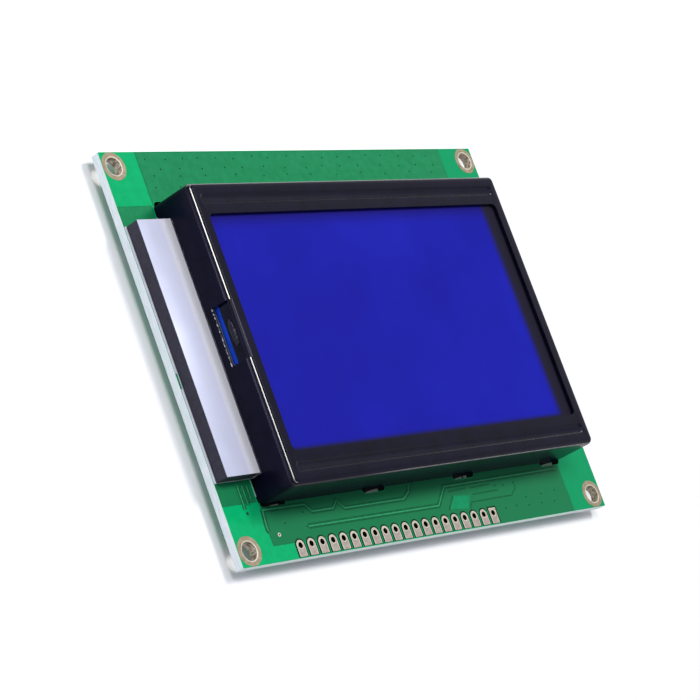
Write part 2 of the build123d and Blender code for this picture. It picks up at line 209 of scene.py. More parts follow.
def mottled(name, deep, light, grain, roughness, bump=None, gloss=0.5, **sockets):
    """A finish whose colour wanders between two tones, with a bump of given height and grain."""
    material = bpy.data.materials.new(name)
    material.use_nodes = True
    nodes, links = material.node_tree.nodes, material.node_tree.links
    shader = shader_of(material)
    sockets.update(Roughness=roughness, Specular_IOR_Level=gloss)
    for socket, value in sockets.items():
        shader.inputs[socket.replace("_", " ")].default_value = value
    place = nodes.new("ShaderNodeTexCoord")
    cloud = nodes.new("ShaderNodeTexNoise")
    cloud.inputs["Scale"].default_value = 1 / grain
    cloud.inputs["Detail"].default_value = cloud_detail
    tones = nodes.new("ShaderNodeValToRGB")
    for end, position, tone in zip(tones.color_ramp.elements, tone_band, (deep, light)):
        end.position = position
        end.color = linear(tone)
    links.new(place.outputs["Object"], cloud.inputs["Vector"])
    links.new(cloud.outputs["Fac"], tones.inputs["Fac"])
    links.new(tones.outputs["Color"], shader.inputs["Base Color"])
    if bump:
        grit = nodes.new("ShaderNodeTexNoise")
        grit.inputs["Scale"].default_value = 1 / bump[1]
        grit.inputs["Detail"].default_value = grit_detail
        relief = nodes.new("ShaderNodeBump")
        relief.inputs["Distance"].default_value = bump[0]
        links.new(place.outputs["Object"], grit.inputs["Vector"])
        links.new(grit.outputs["Fac"], relief.inputs["Height"])
        links.new(relief.outputs["Normal"], shader.inputs["Normal"])
    return material


def masked(name, deep, light, grain, roughness=0.24, ripple_grain=0.3 * mm):
    """A tone of the solder mask, with the slight ripple of a printed coat."""
    ripple = (mask_ripple, ripple_grain)
    return mottled(name, deep, light, grain, roughness, ripple, mask_gloss)


def faded(material, fades, share=1.0):
    """Let a finish fade to another tone between two places along an axis, once for each fade."""
    nodes, links = material.node_tree.nodes, material.node_tree.links
    place = nodes.new("ShaderNodeSeparateXYZ")
    links.new(nodes["Texture Coordinate"].outputs["Object"], place.inputs["Vector"])
    colour = nodes["Color Ramp"].outputs["Color"]
    for axis, start, end, tone in fades:
        fade = nodes.new("ShaderNodeMapRange")
        fade.interpolation_type = "SMOOTHSTEP"
        fade.inputs["From Min"].default_value = start
        fade.inputs["From Max"].default_value = end
        fade.inputs["To Max"].default_value = share
        blend = nodes.new("ShaderNodeMix")
        blend.data_type = "RGBA"
        blend.inputs["B"].default_value = linear(tone)
        links.new(place.outputs[axis], fade.inputs["Value"])
        links.new(fade.outputs["Result"], blend.inputs["Factor"])
        links.new(colour, blend.inputs["A"])
        colour = blend.outputs["Result"]
    links.new(colour, shader_of(material).inputs["Base Color"])


def show(bm, name, materials, smooth_angle=None):
    """Turn a finished bmesh into a piece that rides on the module."""
    bmesh.ops.recalc_face_normals(bm, faces=bm.faces)
    mesh = bpy.data.meshes.new(name)
    bm.to_mesh(mesh)
    bm.free()
    for material in materials:
        mesh.materials.append(material)
    if smooth_angle is not None:
        mesh.shade_smooth()
        mesh.set_sharp_from_angle(angle=math.radians(smooth_angle))
    piece = bpy.data.objects.new(name, mesh)
    bpy.context.scene.collection.objects.link(piece)
    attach(piece, "root")
    return piece


def round_loop(bm, centre, size, corner, height, segments=48):
    """A closed loop of edges: a rectangle of the given size with arcs of the corner radius."""
    step = 2 * math.pi / segments
    radius = corner / math.cos(step / 2)
    turn = Matrix.Rotation(step / 2, 4, "Z")
    ring = bmesh.ops.create_circle(
        bm, cap_ends=False, segments=segments, radius=radius, matrix=turn
    )["verts"]
    for vert in ring:
        vert.co.x += math.copysign(size[0] / 2 - corner, vert.co.x)
        vert.co.y += math.copysign(size[1] / 2 - corner, vert.co.y)
    bmesh.ops.translate(bm, verts=ring, vec=(centre[0], centre[1], height))
    return list({edge for vert in ring for edge in vert.link_edges})


def disc_loop(bm, centre, radius, height, segments=24):
    """A closed loop of edges: a full circle."""
    return round_loop(bm, centre, (2 * radius, 2 * radius), radius, height, segments)


def plate(bm, loops, thickness, material=0):
    """Fill the first loop, less the loops inside it, and draw it up to a thickness."""
    edges = [edge for loop in loops for edge in loop]
    filled = bmesh.ops.triangle_fill(bm, use_beauty=True, edges=edges, normal=(0, 0, 1))
    faces = [part for part in filled["geom"] if isinstance(part, bmesh.types.BMFace)]
    base = faces + list({edge for face in faces for edge in face.edges})
    raised = bmesh.ops.extrude_face_region(bm, geom=base, use_keep_orig=True)["geom"]
    top_verts = [part for part in raised if isinstance(part, bmesh.types.BMVert)]
    bmesh.ops.translate(bm, verts=top_verts, vec=(0, 0, thickness))
    made = {face for vert in top_verts for face in vert.link_faces} | set(faces)
    for face in made:
        face.material_index = material
    return top_verts


mount_holes = [
    (sx * hole_spacing_x / 2, sy * hole_spacing_y / 2) for sx in (-1, 1) for sy in (-1, 1)
]
pad_places = [pad_row_x + (i - (pad_count - 1) / 2) * pad_pitch for i in range(pad_count)]
board_bm = bmesh.new()
board_loops = [
    round_loop(board_bm, (0, 0), (board_length, board_width), board_corner, board_low.z, 8)
]
for spot in mount_holes:
    board_loops.append(disc_loop(board_bm, spot, drill_radius, board_low.z, 48))
for x in pad_places:
    board_loops.append(disc_loop(board_bm, (x, pad_row_y), pad_drill_radius, board_low.z))
for spot in slot_places:
    board_loops.append(
        round_loop(board_bm, spot, (slot_length, slot_width), slot_width / 2, board_low.z, 32)
    )
for spot in pin_spots:
    board_loops.append(disc_loop(board_bm, spot, pin_hole_radius, board_low.z))
plate(board_bm, board_loops, board_top - board_low.z)
for face in board_bm.faces:
    if abs(face.normal.z) < 0.5:
        spot = face.calc_center_median()
        from_end, from_side = board_high.x - abs(spot.x), board_high.y - abs(spot.y)
        at_rim = min(from_end, from_side) < rim_band
        face.material_index = 1 if at_rim else 2

mask = masked("solder_mask", mask_bright_deep, mask_bright, 1.6 * mm, 0.22, 0.35 * mm)
faded(mask, (("X", *mask_right_x, mask_right),), shade_share)

fibre = mottled(
    "laminate_edge", (214, 238, 226), (252, 255, 254), grain=1.0, roughness=0.6,
    bump=(0.01 * mm, 0.3 * mm), gloss=0.2,
)
fibre_nodes, fibre_links = fibre.node_tree.nodes, fibre.node_tree.links
fibre_run = fibre_nodes.new("ShaderNodeMapping")
fibre_run.inputs["Scale"].default_value = [1 / length for length in fibre_grain]
fibre_links.new(fibre_nodes["Texture Coordinate"].outputs["Object"], fibre_run.inputs["Vector"])
fibre_links.new(fibre_run.outputs["Vector"], fibre_nodes["Noise Texture"].inputs["Vector"])
# The walls of the holes and slots are painted dark green: painted shade inside them, over laminate
# that is pale.
drilled = mottled("drilled_wall_painted_shade", (6, 34, 22), (18, 66, 42), grain=0.3 * mm, roughness=0.6)
board = show(board_bm, "board", [mask, fibre, drilled])
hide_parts("circuit_board")

# Copper under the mask on the front: one large earth area that stops short of the board's ends
# and of the pads, a foot to it right of the pads, and a strip under the light bar. Each is
# etched from thin foil, so its edge stands up a little inside the dark line of its border.
foil = 0.03 * mm
earth_border = 0.14 * mm
edge_margin = 0.2 * mm
cut_spare = 1.5 * mm
area_corner = 0.1 * mm
border_rise = 0.4 * foil
earth_left, earth_right = -38.4 * mm, 37.4 * mm
earth_top = board_high.y - edge_margin
earth_bottom = board_low.y + 2.76 * mm
foot_left = 16.95 * mm
slot_clearance = 0.15 * mm
opening = (slot_length + 2 * slot_clearance, slot_width + 2 * slot_clearance)
strip_low = (-46.3 * mm, -24.9 * mm)
strip_high = (-38.95 * mm, 25.4 * mm)
patch_rise = foil + 0.004 * mm
patch_corners = ((7.2, -28.9), (11.4, -29.3), (9.9, -31.5), (5.1, -31.1))
mask_over_copper = (32, 143, 91)
mask_over_copper_deep = (25, 133, 81)
# The mask over copper is painted darker towards the pad row, below the bezel: painted shade of the
# bezel.
copper_painted_shade = (26, 122, 76)
copper_painted_shade_y = (-10 * mm, -25 * mm)
mask_copper = masked("mask_over_copper", mask_over_copper_deep, mask_over_copper, grain=1.2 * mm)
faded(mask_copper, (("Y", *copper_painted_shade_y, copper_painted_shade),), shade_share)
mask_border = mottled(
    "mask_at_border", (14, 116, 70), (20, 134, 84), grain=0.8 * mm, roughness=0.3,
    gloss=mask_gloss,
)
mask_patch = masked("mask_on_patch", (10, 142, 90), (16, 154, 100), grain=1.2 * mm)


def cut_back(bm, level, normal):
    """Cut off all that lies beyond a plane, and close the cut."""
    bmesh.ops.bisect_plane(
        bm, geom=bm.verts[:] + bm.edges[:] + bm.faces[:], plane_co=level, plane_no=normal,
        clear_outer=True,
    )
    rim = [edge for edge in bm.edges if len(edge.link_faces) == 1]
    bmesh.ops.holes_fill(bm, edges=rim, sides=0)


def join(bm, part_bm):
    """Add a finished part to the bmesh of its piece."""
    part = bpy.data.meshes.new("part")
    part_bm.to_mesh(part)
    part_bm.free()
    bm.from_mesh(part)
    bpy.data.meshes.remove(part)


def poured(bm, low, high, openings):
    """An area of copper under the mask, on the slightly larger plate of its dark border."""
    centre = ((low[0] + high[0]) / 2, (low[1] + high[1]) / 2)
    size = (high[0] - low[0] + 2 * cut_spare, high[1] - low[1] + 2 * cut_spare)
    for grow, rise, material in ((earth_border, border_rise, 1), (0.0, foil, 0)):
        area_bm = bmesh.new()
        loops = [round_loop(area_bm, centre, size, area_corner, board_top, 8)]
        for place in openings:
            loops.append(round_loop(area_bm, place, opening, opening[1] / 2, board_top, 32))
        plate(area_bm, loops, rise, material)
        for corner, way in ((low, -1), (high, 1)):
            for axis in range(2):
                level, normal = [0, 0, 0], [0, 0, 0]
                level[axis] = corner[axis] + way * grow
                normal[axis] = way
                cut_back(area_bm, level, normal)
        for face in area_bm.faces:
            face.material_index = material
        join(bm, area_bm)


earth_bm = bmesh.new()
poured(earth_bm, (earth_left, earth_bottom), (earth_right, earth_top), slot_places)
poured(earth_bm, (foot_left, board_low.y + edge_margin), (earth_right, earth_bottom), [])
poured(earth_bm, strip_low, strip_high, [])
patch_verts = [earth_bm.verts.new((x * mm, y * mm, board_top)) for x, y in patch_corners]
patch_edges = [
    earth_bm.edges.new(pair) for pair in zip(patch_verts, patch_verts[1:] + patch_verts[:1])
]
plate(earth_bm, [patch_edges], patch_rise, 2)
earth = show(earth_bm, "front_earth_copper", [mask_copper, mask_border, mask_patch])

# Tracks on the front: each runs in an etched channel through the earth area, so it shows as
# a raised line between two dark ones. They join the pads to the chips on the back.
track_width = 0.32 * mm
channel_width = 1.02 * mm
strip_channel_width = 0.8 * mm
line_width = 0.3 * mm
track_rise = 0.06 * mm
channel_height = 0.3 * mm
channel_rise = foil + 0.006 * mm
rise_step = 0.0008 * mm
track_runs = (
    ((-38.2, -26.4), (-28.6, -26.5), (-27.4, -27.8), (-22.4, -27.8), (-21.1, -26.6),
     (-19.8, -28.1), (-5.1, -28.1), (-3.4, -27.0), (-2.9, -25.9)),
    ((-38.2, -26.4), (-38.5, -29.0), (-38.5, -29.9)),
    ((-29.4, -30.1), (2.7, -30.2), (5.7, -27.1), (36.4, -26.9)),
)
strip_runs = (
    ((-41.8, -22.0), (-41.8, -25.9)),
    ((-40.8, -22.0), (-40.8, -25.3)),
    ((-39.8, -22.2), (-39.8, -24.4)),
)
line_runs = (
    ((6.3, -28.1), (11.1, -27.9)),
    ((12.0, -28.0), (17.4, -27.9)),
    ((12.2, -29.2), (19.0, -29.1)),
    ((10.4, -31.6), (11.1, -30.5), (22.2, -30.4), (23.9, -29.2), (23.8, -28.4)),
    ((7.0, -29.0), (4.9, -31.2)),
)
mask_channel = masked("mask_in_channel", (8, 92, 54), (14, 108, 66), grain=0.8 * mm, roughness=0.3)
mask_track = masked("mask_on_track", (44, 148, 98), (60, 166, 114), grain=0.6 * mm)


def track(bm, points, width, rise, material, flat_at=None):
    """A flattened strip along straight runs, cut flat at the board and at a given height."""
    line = bpy.data.curves.new("track_line", "CURVE")
    line.dimensions = "3D"
    line.bevel_depth = width / 2
    line.bevel_resolution = 2
    line.use_fill_caps = True
    run = line.splines.new("POLY")
    run.points.add(len(points) - 1)
    for spot, point in zip(run.points, points):
        spot.co = (point[0] * mm, point[1] * mm, 0, 1)
    holder = bpy.data.objects.new("track_line", line)
    strip = bpy.data.meshes.new_from_object(holder)
    bpy.data.objects.remove(holder)
    strip_bm = bmesh.new()
    strip_bm.from_mesh(strip)
    bpy.data.meshes.remove(strip)
    bmesh.ops.remove_doubles(strip_bm, verts=strip_bm.verts, dist=0.0001 * mm)
    bmesh.ops.scale(strip_bm, verts=strip_bm.verts, vec=(1, 1, 2 * rise / width))
    cut_back(strip_bm, (0, 0, 0), (0, 0, -1))
    if flat_at is not None:
        cut_back(strip_bm, (0, 0, flat_at), (0, 0, 1))
    bmesh.ops.translate(strip_bm, verts=strip_bm.verts, vec=(0, 0, board_top))
    for face in strip_bm.faces:
        face.material_index = material
    join(bm, strip_bm)


track_bm = bmesh.new()
channels = [(points, channel_width) for points in track_runs]
channels += [(points, strip_channel_width) for points in strip_runs]
channels += [(points, line_width) for points in line_runs]
for number, (points, width) in enumerate(channels):
    track(track_bm, points, width, channel_height, 1, channel_rise + number * rise_step)
for points in track_runs + strip_runs:
    track(track_bm, points, track_width, track_rise, 0)
tracks = show(track_bm, "front_tracks", [mask_track, mask_channel], 50)

# Vias: small plated holes filled and covered by the mask, which show as dark dimples. Rows
# of them tie the earth areas of the two faces together.
via_rings = (
    (0.34 * mm, 0.0), (0.272 * mm, 0.004 * mm), (0.15 * mm, 0.005 * mm), (0.12 * mm, 0.003 * mm),
)
# Each row: y, first x and pitch in mm, and the count. The single ones are in mm too.
via_rows = (
    (33.8, -36.5, 4.15, 18),
    (31.9, -34.2, 4.9, 15),
    (30.5, -36.4, 6.4, 12),
    (28.5, -36.5, 5.2, 15),
    (-32.4, 19.6, 3.4, 5),
    (-30.9, 26.5, 4.1, 3),
)
single_vias = (
    (-41.6, -26.6), (-38.6, -30.0), (-29.6, -30.1), (-29.6, -27.7), (-34.3, -29.0),
    (18.7, -28.3), (20.9, -28.4), (23.8, -28.2), (-44.6, 23.7), (-1.9, -25.9),
)
stray_x, stray_y = 0.7, 0.25
random.seed(7)
via_spots = []
for row_y, first_x, row_pitch, row_count in via_rows:
    for i in range(row_count):
        x = first_x + i * row_pitch + random.uniform(-stray_x, stray_x)
        y = row_y + random.uniform(-stray_y, stray_y)
        via_spots.append((x * mm, y * mm))
via_spots += [(x * mm, y * mm) for x, y in single_vias]
via_pit = mottled("via_pit", (2, 34, 22), (6, 60, 38), grain=0.3 * mm, roughness=0.5, gloss=0.03)


def dimple(bm, spot, floor_z):
    """A ring of mask round a sunken dark eye."""
    place = Matrix.Translation((spot[0], spot[1], floor_z))
    rings = []
    for radius, lift in via_rings:
        ring = bmesh.ops.create_circle(
            bm, cap_ends=False, segments=12, radius=radius,
            matrix=place @ Matrix.Translation((0, 0, lift)),
        )["verts"]
        rings.append(list({edge for vert in ring for edge in vert.link_edges}))
    for outer, inner in zip(rings, rings[1:]):
        bmesh.ops.bridge_loops(bm, edges=outer + inner)
    eye = bmesh.ops.contextual_create(bm, geom=rings[-1])["faces"]
    for face in eye + [f for edge in rings[-1] for f in edge.link_faces]:
        face.material_index = 1


via_bm = bmesh.new()
for spot in via_spots:
    over_earth = earth_left < spot[0] < earth_right and spot[1] > earth_bottom
    over_foot = foot_left < spot[0] < earth_right and spot[1] < 0
    floor_z = board_top + (foil if over_earth or over_foot else 0)
    dimple(via_bm, spot, floor_z)
vias = show(via_bm, "front_vias", [mask_copper, via_pit], 60)

# Edge pads: tinned copper fingers with plated holes, left open for a header or a ribbon. The
# mask stops just short of each, which leaves a narrow gap of bare laminate round it, painted
# as a dark line of shade.
pad_width = 1.75 * mm
pad_head = pad_width / 2
pad_tail = 1.88 * mm
finger_segments = 24
pad_rise = 0.055 * mm
pad_gap = 0.29 * mm
pad_gap_tail = 0.08 * mm
pad_clearing = 1.5 * pad_hole_radius
pad_rim = 0.14 * mm
rim_end = pad_row_y - 0.85 * pad_tail
gap_rise = foil + 0.008 * mm
test_point = (-36.4 * mm, -30.7 * mm)
test_radius = 0.33 * mm
test_hole_radius = 0.15 * mm
test_eye_radius = 0.16 * mm
test_eye_rise = foil + 0.002 * mm
tin_deep = (157, 146, 137)
tin_light = (183, 174, 164)
bright_tin_and_rim_highlight = (228, 220, 200)
tin = mottled(
    "tin_plate", tin_deep, tin_light, grain=0.5 * mm, roughness=0.5, bump=(0.01 * mm, 0.12 * mm),
    gloss=0.15, Metallic=0.15,
)
# On the pads its lighter rim round each head is a painted highlight; it also serves as bright tin
# for the amplifier's leads, the test ring and the mounting rings' lips.
bright_tin_and_highlight = mottled(
    "bright_tin_and_rim_highlight", (206, 196, 178), bright_tin_and_rim_highlight, grain=0.4 * mm, roughness=0.4,
    bump=(0.008 * mm, 0.15 * mm), gloss=0.2, Metallic=0.15,
)
# The barrels and the test point's eye are painted near black: painted shade inside the holes, over
# plating that is bright.
barrel_painted_shade = mottled(
    "painted_barrel_shade", (8, 6, 5), (40, 24, 18), grain=0.3 * mm, roughness=0.5, gloss=0.1,
)
# The gap round each pad is painted dark green: painted shade between pad and mask.
gap_painted_shade = mottled("gap_painted_shade", (2, 44, 28), (6, 62, 40), grain=0.5 * mm, roughness=0.5, gloss=0.05)


def finger_loop(bm, x, radius, tail, height, square):
    """The outline of one pad: round at its head, square at the board's edge."""
    ring = bmesh.ops.create_circle(
        bm, cap_ends=False, segments=finger_segments, radius=radius,
        matrix=Matrix.Rotation(math.pi / finger_segments, 4, "Z"),
    )["verts"]
    for vert in ring:
        if vert.co.y < 0 or square:
            vert.co.x = math.copysign(radius, vert.co.x)
        if vert.co.y < 0:
            vert.co.y = -tail
        elif square:
            vert.co.y = radius
    bmesh.ops.translate(bm, verts=ring, vec=(x, pad_row_y, height))
    bmesh.ops.remove_doubles(bm, verts=ring, dist=0.001 * mm)
    kept = [vert for vert in ring if vert.is_valid]
    return list({edge for vert in kept for edge in vert.link_edges})


pads_bm = bmesh.new()
for number, x in enumerate(pad_places):
    square = number == pad_count - 1
    outline = finger_loop(
        pads_bm, x, pad_head + pad_gap, pad_tail + pad_gap_tail, board_top, square
    )
    clearing = disc_loop(pads_bm, (x, pad_row_y), pad_clearing, board_top)
    plate(pads_bm, [outline, clearing], gap_rise, 3)
    for base, rise in ((board_top, pad_rise), (board_low.z, -pad_rise)):
        hole = disc_loop(pads_bm, (x, pad_row_y), pad_hole_radius, base)
        crown = plate(
            pads_bm, [finger_loop(pads_bm, x, pad_head, pad_tail, base, square), hole], rise, 0
        )
        crown_faces = [
            face for face in {f for vert in crown for f in vert.link_faces}
            if abs(face.calc_center_median().z - base - rise) < 0.1 * pad_rise
        ]
        rim = bmesh.ops.inset_region(
            pads_bm, faces=crown_faces, thickness=pad_rim, depth=0, use_boundary=True,
            use_even_offset=True,
        )["faces"]
        for face in rim:
            if face.calc_center_median().y > rim_end:
                face.material_index = 1
    barrel = []
    for height in (board_low.z - pad_rise, board_top + pad_rise):
        barrel += disc_loop(pads_bm, (x, pad_row_y), pad_hole_radius, height)
    for face in bmesh.ops.bridge_loops(pads_bm, edges=barrel)["faces"]:
        face.material_index = 2
test_ring = [
    disc_loop(pads_bm, test_point, radius, board_top, 20)
    for radius in (test_radius, test_hole_radius)
]
plate(pads_bm, test_ring, gap_rise, 1)
test_eye = disc_loop(pads_bm, test_point, test_eye_radius, board_top, 20)
plate(pads_bm, [test_eye], test_eye_rise, 2)
bmesh.ops.remove_doubles(pads_bm, verts=pads_bm.verts, dist=0.001 * mm)
pads = show(pads_bm, "edge_pads", [tin, bright_tin_and_highlight, barrel_painted_shade, gap_painted_shade], 40)
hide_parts("interface_pads")

# Mounting holes: drilled, then plated through, with a tinned ring on each face for a screw
# head or a standoff to earth on.
ring_radius = 2.46 * mm
ring_bore = 1.55 * mm
ring_rise = 0.05 * mm
ring_round = 0.03 * mm
ring_lip = 0.2 * mm
ring_profile = (
    (ring_radius, board_top),
    (ring_radius, board_top + ring_rise - ring_round),
    (ring_radius - ring_round, board_top + ring_rise),
    (ring_bore + ring_lip, board_top + ring_rise),
    (ring_bore + ring_round, board_top + ring_rise - ring_round),
    (ring_bore, board_top - 2 * ring_round),
)
ring_profile += tuple((r, board_top + board_low.z - z) for r, z in reversed(ring_profile))
ring_tin = mottled(
    "ring_tin", (138, 124, 100), (172, 158, 132), grain=0.8 * mm, roughness=0.45,
    bump=(0.01 * mm, 0.12 * mm), gloss=0.2, Metallic=0.15,
)
plated = mottled(
    "hole_plating", (112, 98, 74), (244, 234, 210), grain=0.5 * mm, roughness=0.34,
    bump=(0.03 * mm, 0.3 * mm), Metallic=0.2,
)
rings_bm = bmesh.new()
for spot in mount_holes:
    profile = [rings_bm.verts.new((spot[0] + r, spot[1], z)) for r, z in ring_profile]
    spokes = [rings_bm.edges.new(pair) for pair in zip(profile, profile[1:] + profile[:1])]
    bmesh.ops.spin(
        rings_bm, geom=profile + spokes, cent=(spot[0], spot[1], 0), axis=(0, 0, 1),
        angle=2 * math.pi, steps=64, use_merge=True,
    )
for face in rings_bm.faces:
    middle = face.calc_center_median()
    radius = min(math.hypot(middle.x - spot[0], middle.y - spot[1]) for spot in mount_holes)
    if radius < ring_bore + 0.5 * ring_round:
        face.material_index = 1
    elif radius < ring_bore + ring_lip:
        face.material_index = 2
rings = show(rings_bm, "mounting_rings", [ring_tin, plated, bright_tin_and_highlight], 35)
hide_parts("mounting_hole_plating")

# Back of the board: three bare driver chips wire-bonded to the board, each under a cap of
# black potting resin that was poured and left to level, with tracks fanning out from it.
resin_spots = ((-26.0 * mm, 10.0 * mm), (26.0 * mm, 10.0 * mm), (0.0, -13.0 * mm))
resin_profile = (
    (7.5, 0.0), (7.38, 0.2), (6.95, 0.58), (6.2, 0.98), (5.2, 1.3), (4.0, 1.5), (2.6, 1.58),
    (1.2, 1.6), (0.0, 1.6),
)
resin_waver = 0.035
waver_turn = 1.4
waver_step = 5.3
fan_reach = (7.2 * mm, 10.4 * mm)
fan_count = 36
lane_width = 0.22 * mm
lane_rise = 0.035 * mm
fan_stagger = 1.3 * mm
fan_squareness = 0.6
pad_lane_width = 1.4 * lane_width
pad_lane_start = pad_row_y + 1.3 * mm
pad_lane_length = 1.2 * mm
pad_lane_overlap = 0.05 * mm
knee_y = -27.6 * mm
knee_draw_in = 0.82
knee_step = 0.3 * mm
# A ring and its dark eye, in mm: radius at the foot and at the top, height, middle's height.
back_via_cones = ((0.36, 0.3, 0.05, 0.025), (0.14, 0.12, 0.052, 0.027))


def turned(bm, spot, profile, steps):
    """A profile of radii and heights in mm, turned about an upright axis below the board."""
    outline = [
        bm.verts.new((spot[0] + radius * mm, spot[1], board_low.z - height * mm))
        for radius, height in profile
    ]
    ribs = [bm.edges.new(pair) for pair in zip(outline, outline[1:])]
    bmesh.ops.spin(
        bm, geom=outline + ribs, cent=(spot[0], spot[1], 0), axis=(0, 0, 1),
        angle=2 * math.pi, steps=steps, use_merge=True,
    )


resin_bm = bmesh.new()
for number, spot in enumerate(resin_spots):
    before = set(resin_bm.verts)
    turned(resin_bm, spot, resin_profile, 72)
    for vert in resin_bm.verts:
        if vert not in before:
            arm = Vector((vert.co.x - spot[0], vert.co.y - spot[1], 0))
            if arm.length > 0.1 * mm:
                place = arm.normalized() * waver_turn + Vector((0, 0, waver_step * number))
                vert.co += arm * resin_waver * noise.noise(place)
bmesh.ops.remove_doubles(resin_bm, verts=resin_bm.verts, dist=0.01 * mm)
resin = mottled(
    "potting_resin", (9, 9, 10), (22, 22, 24), grain=2.5 * mm, roughness=0.2,
    bump=(0.05 * mm, 2.4 * mm), gloss=0.4,
)
caps = show(resin_bm, "resin_caps", [resin], 40)
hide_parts("driver_chip_caps")


def lane(bm, start, end, width):
    """One straight thin track on the board's back, between two points."""
    run = Vector(end) - Vector(start)
    verts = bmesh.ops.create_cube(bm, size=1.0)["verts"]
    bmesh.ops.scale(bm, verts=verts, vec=(run.length, width, lane_rise))
    bmesh.ops.rotate(
        bm, verts=verts, matrix=Matrix.Rotation(math.atan2(run.y, run.x), 3, "Z")
    )
    centre = (Vector(start) + Vector(end)) / 2
    middle_z = board_low.z - lane_rise / 2
    bmesh.ops.translate(bm, verts=verts, vec=(centre.x, centre.y, middle_z))


fan_bm = bmesh.new()
back_vias = []
for spot in resin_spots:
    for i in range(fan_count):
        turn = 2 * math.pi * (i + 0.5) / fan_count
        arm = Vector((math.cos(turn), math.sin(turn)))
        square = 1 / max(abs(arm.x), abs(arm.y)) ** fan_squareness
        reach = fan_reach[1] * square + (i % 2) * fan_stagger
        inner, outer = Vector(spot) + arm * fan_reach[0], Vector(spot) + arm * reach
        lane(fan_bm, inner, outer, lane_width)
        back_vias.append(outer)
bend_y = pad_lane_start + pad_lane_length
for i, x in enumerate(pad_places):
    knee = Vector((x * knee_draw_in, knee_y + abs(i - (pad_count - 1) / 2) * knee_step))
    lane(fan_bm, (x, pad_lane_start), (x, bend_y), pad_lane_width)
    lane(fan_bm, (x, bend_y - pad_lane_overlap), knee, pad_lane_width)
    back_vias.append(knee)
for spot in back_vias:
    place = Matrix.Translation((spot[0], spot[1], board_low.z)) @ Matrix.Rotation(math.pi, 4, "X")
    for number, (foot_radius, top_radius, height, middle) in enumerate(back_via_cones):
        cone = bmesh.ops.create_cone(
            fan_bm, cap_ends=True, segments=10, radius1=foot_radius * mm,
            radius2=top_radius * mm, depth=height * mm,
            matrix=place @ Matrix.Translation((0, 0, middle * mm)),
        )["verts"]
        for face in {face for vert in cone for face in vert.link_faces}:
            face.material_index = number
fan = show(fan_bm, "back_tracks", [mask_copper, via_pit])

# Chip resistors and capacitors on the back: ceramic bodies with tinned end caps, soldered to
# pads with a fillet at each end. A resistor's body has a black glaze over its outer face.
end_cap = 0.4 * mm
body_inset = 0.02 * mm
body_end_inset = 0.1 * mm
glaze_share = 0.42
glaze_gap = 0.08 * mm
glaze_depth = 0.1 * mm
part_length, part_width = 2.0 * mm, 1.25 * mm
# Each row: kind, middle in mm, count, pitch in mm, and the height of its parts.
part_rows = (
    ("resistor", (-25.0, -21.0), 6, 2.6, 0.5 * mm),
    ("resistor", (22.0, -6.0), 6, 2.6, 0.5 * mm),
    ("capacitor", (24.0, -13.0), 5, 3.4, 0.9 * mm),
    ("capacitor", (0.0, 16.0), 3, 4.0, 0.9 * mm),
)
solder_pad = (1.5 * mm, 0.95 * mm)
solder_pad_rise = 0.04 * mm
solder_pad_round = 0.015 * mm
fillet_reach = 0.32 * mm
fillet_share = 0.46
fillet_height = 0.6
fillet_toe = 0.07 * mm
fillet_foot = 0.03 * mm


def block(bm, low, high, round_by=0.0, material=0):
    """A box between two corners, with its edges rounded where a radius is given."""
    verts = bmesh.ops.create_cube(bm, size=1.0)["verts"]
    span = Vector(high) - Vector(low)
    bmesh.ops.scale(bm, verts=verts, vec=span)
    bmesh.ops.translate(bm, verts=verts, vec=(Vector(low) + Vector(high)) / 2)
    faces = {face for vert in verts for face in vert.link_faces}
    for face in faces:
        face.material_index = material
    if round_by:
        edges = list({edge for vert in verts for edge in vert.link_edges})
        bmesh.ops.bevel(
            bm, geom=edges, offset=round_by, offset_type="OFFSET", affect="EDGES", segments=2,
            profile=0.5, material=-1,
        )
    return verts


def flat_pad(bm, x, y, size):
    """A solder pad on the board's back."""
    block(
        bm, (x - size[0] / 2, y - size[1] / 2, board_low.z - solder_pad_rise),
        (x + size[0] / 2, y + size[1] / 2, board_low.z), round_by=solder_pad_round,
    )


cap_bm = {"resistor": bmesh.new(), "capacitor": bmesh.new()}
body_bm = {"resistor": bmesh.new(), "capacitor": bmesh.new()}
joint_bm = bmesh.new()
for kind, centre, count, pitch, height in part_rows:
    for i in range(count):
        x = (centre[0] + (i - (count - 1) / 2) * pitch) * mm
        y = centre[1] * mm
        top = board_low.z - height
        half = part_length / 2
        body_half = (part_width / 2 - body_inset, half - body_end_inset)
        block(
            body_bm[kind], (x - body_half[0], y - body_half[1], top + body_inset),
            (x + body_half[0], y + body_half[1], board_low.z), round_by=0.03 * mm,
        )
        if kind == "resistor":
            glaze_half = (glaze_share * part_width, half - end_cap - glaze_gap)
            block(
                body_bm[kind], (x - glaze_half[0], y - glaze_half[1], top),
                (x + glaze_half[0], y + glaze_half[1], top + glaze_depth), material=1,
            )
        for side in (-1, 1):
            outer, inner = y + side * half, y + side * (half - end_cap)
            block(
                cap_bm[kind], (x - part_width / 2, min(outer, inner), top),
                (x + part_width / 2, max(outer, inner), board_low.z), round_by=0.06 * mm,
            )
            flat_pad(joint_bm, x, y + side * (half - body_end_inset), solder_pad)
            reach = outer + side * fillet_reach
            fillet_half = fillet_share * part_width
            fillet_top = board_low.z - fillet_height * height
            heel = block(
                joint_bm, (x - fillet_half, min(outer, reach), fillet_top),
                (x + fillet_half, max(outer, reach), board_low.z - fillet_foot),
            )
            for vert in heel:
                if abs(vert.co.y - reach) < 0.01 * mm and vert.co.z < board_low.z - 0.1 * mm:
                    vert.co.z = board_low.z - fillet_toe
solder_finish = mottled(
    "solder_joint", (128, 128, 130), (206, 206, 208), grain=0.6 * mm, roughness=0.3,
    bump=(0.02 * mm, 0.4 * mm), Metallic=0.6,
)
